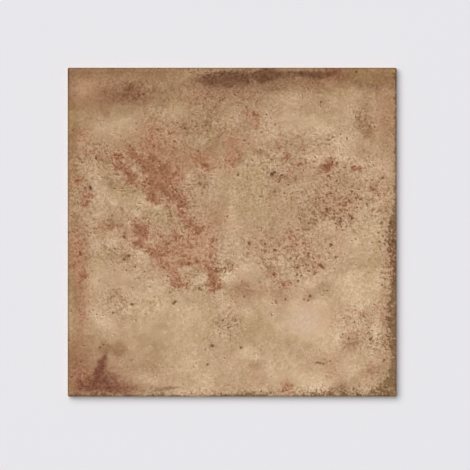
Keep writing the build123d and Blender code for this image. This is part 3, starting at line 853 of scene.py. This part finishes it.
shade = shade + (0.05 + 0.22 * speckle + 0.6 * margin - 0.05 * rust) * pebbles
shade = shade + 0.7 * (edge + edge * crumbs + 0.3 * crumbs).between(0.35, 0.75)
# The last term adds the painted shade along the arris.
shade = shade - 0.3 * pale_flecks.between(0.24, 0.3) + 0.85 * rim
shade = shade + (0.5 * patch + 1.3 * sand + 0.9 * dust) * rough
face = face.darken(shader.maths("MAXIMUM", shade, LIGHTEST_SHADE))
dark_granules = shader.maths("MAXIMUM", 10 * (granules - 0.3), 0)
specks = shader.maths("MINIMUM", dark_granules, DARKEST_GRANULE) + 0.55 * curls
specks = specks + 1.7 * (pinholes + 0.6 * sand).between(0.3, 0.55)
face = face.darken(specks, SPECK_SHARES)

# The bare body: buff porcelain, sandy on the drafted wall, drawn in faint upright streaks where the
# die box rubbed the land, with pale kiln wash on the rib crests. The glaze ends on the wall.
DARK_BODY, PALE_BODY = colour(184, 156, 124), colour(214, 191, 162)
KILN_WASH = colour(228, 218, 204)
STREAK_WIDTH, STREAK_SQUASH = 1.6, 0.06
LAND_FADE = 0.3
WASH_TOP, WASH_FADE = 0.5, 0.3
GLAZE_FOOT, GLAZE_FADE = 6.8, 0.3
height = shader.node("ShaderNodeSeparateXYZ", output=2, Vector=place) * (1 / MM)
upright = shader.node(
    "ShaderNodeVectorMath", {"operation": "MULTIPLY"}, i0=place, i1=(1, 1, STREAK_SQUASH),
)
streaks = shader.node(
    "ShaderNodeTexNoise", Vector=upright, Scale=1 / (STREAK_WIDTH * MM), Detail=2.0,
) - 0.5
body = (0.5 + 1.2 * blotch + 0.9 * patch + 0.8 * sand).mix(DARK_BODY, PALE_BODY)
on_land = (LAND_HEIGHT + LAND_FADE - height).between(0, 0.5)
body = body.darken(on_land * (0.08 + 0.9 * streaks) + 0.5 * granules.between(0.22, 0.3))
dusted = (cloudy + blotch + 0.5 * patch + 0.5 * sand).between(-0.1, 0.08)
dusted = (WASH_TOP - height).between(0, WASH_FADE) * dusted
body = (0.6 * dusted).mix(body, KILN_WASH)
glaze_edge = height + 2.5 * blotch + 1.6 * patch + 1.8 * sand + 1.2 * dust
glazed = glaze_edge.between(GLAZE_FOOT, GLAZE_FOOT + GLAZE_FADE)
skin = glazed.mix(body, face)

# The glaze is matt, and the bare body is rougher still. Both have a fine grain that catches the
# light, and granules and pinholes are pits in the glaze.
GLAZE_ROUGHNESS, BODY_ROUGHNESS = 0.6, 0.86
GRAIN_DEPTH = 0.7
SPECULAR = 0.3
glaze_roughness = GLAZE_ROUGHNESS + 0.3 * blotch + 0.35 * sand
skin_roughness = glazed * glaze_roughness + (1 - glazed) * BODY_ROUGHNESS
pits = granules.between(0.28, 0.36) + 0.5 * pinholes
grain_height = glazed * (0.45 * patch + 0.35 * sand + 0.06 * dust - 0.12 * pits)
grain_height = grain_height + (1 - glazed) * (0.14 * sand + 0.12 * dust) + on_land * (0.08 * streaks)
bump = shader.node("ShaderNodeBump", Height=grain_height, Distance=GRAIN_DEPTH * MM, Strength=1.0)

finish = tree.nodes["Principled BSDF"].inputs
tree.links.new(skin.socket, finish["Base Color"])
tree.links.new(skin_roughness.socket, finish["Roughness"])
tree.links.new(bump.socket, finish["Normal"])
finish["Specular IOR Level"].default_value = SPECULAR
tile_mesh.materials.append(glaze)

# The floor. A flat sheet of plain pale plaster, on which the tile lies with the crests of its ribs.
# It reaches far past the picture on every side.
FLOOR_REACH = 6.0
PALE_PLASTER = colour(231, 230, 234)
PLASTER_ROUGHNESS = 0.8
floor_mesh = bpy.data.meshes.new("floor")
floor_mesh.from_pydata(
    [(x * FLOOR_REACH, y * FLOOR_REACH, 0) for x, y in ((-1, -1), (1, -1), (1, 1), (-1, 1))],
    [], [(0, 1, 2, 3)],
)
floor = add_object("floor", floor_mesh)
plaster = bpy.data.materials.new("pale_plaster")
plaster.use_nodes = True
plain = plaster.node_tree.nodes["Principled BSDF"].inputs
plain["Base Color"].default_value = PALE_PLASTER
plain["Roughness"].default_value = PLASTER_ROUGHNESS
floor_mesh.materials.append(plaster)

# The light. One broad lamp high on the upper left gives a level face this share of full white, and
# an even white surround gives the rest. Past the floor the camera sees the floor's own colour.
LAMP_SHARE, SURROUND_SHARE = 0.73, 0.27
LAMP_TILT, LAMP_TURN = np.radians(31), np.radians(-45)
LAMP_SPREAD = np.radians(54)
world = bpy.data.worlds.new("studio")
bpy.context.scene.world = world
world.use_nodes = True
studio = world.node_tree
white = studio.nodes["Background"]
white.inputs["Color"].default_value = (1, 1, 1, 1)
white.inputs["Strength"].default_value = SURROUND_SHARE
surround = Value(studio, white.outputs[0])
backdrop = surround.node("ShaderNodeBackground", Color=PALE_PLASTER, Strength=1.0)
seen = surround.node("ShaderNodeLightPath")
shown = surround.node("ShaderNodeMixShader", i0=seen, i1=surround, i2=backdrop)
studio.links.new(shown.socket, studio.nodes["World Output"].inputs["Surface"])
lamp = bpy.data.lights.new("softbox", "SUN")
lamp.energy = LAMP_SHARE * np.pi / np.cos(LAMP_TILT)
lamp.angle = LAMP_SPREAD
add_object("softbox", lamp).rotation_euler = (0, -LAMP_TILT, LAMP_TURN)

# The camera looks straight down from a distance. In the photograph the tile's outline takes 328.6 of
# the 470 pixels, a little left of and above the middle. The outline is the land, 5 mm below the face,
# so the same width would take 329.3 at the height of the face.
PICTURE_WIDTH = 470
TILE_WIDTH_IN_PICTURE = 329.3
TILE_MIDDLE_IN_PICTURE = (232.12, 232.12)
LENS = 200.0
SENSOR = 36.0
frame_width = 2 * HALF_SIDE * MM * PICTURE_WIDTH / TILE_WIDTH_IN_PICTURE
per_pixel = frame_width / PICTURE_WIDTH
camera_data = bpy.data.cameras.new("camera")
camera_data.lens = LENS
camera_data.sensor_width = SENSOR
camera = add_object("camera", camera_data)
camera.location = (
    (PICTURE_WIDTH / 2 - TILE_MIDDLE_IN_PICTURE[0]) * per_pixel,
    (TILE_MIDDLE_IN_PICTURE[1] - PICTURE_WIDTH / 2) * per_pixel,
    THICKNESS * MM + frame_width * LENS / SENSOR,
)
bpy.context.scene.camera = camera
bpy.context.scene.view_settings.view_transform = "Standard"
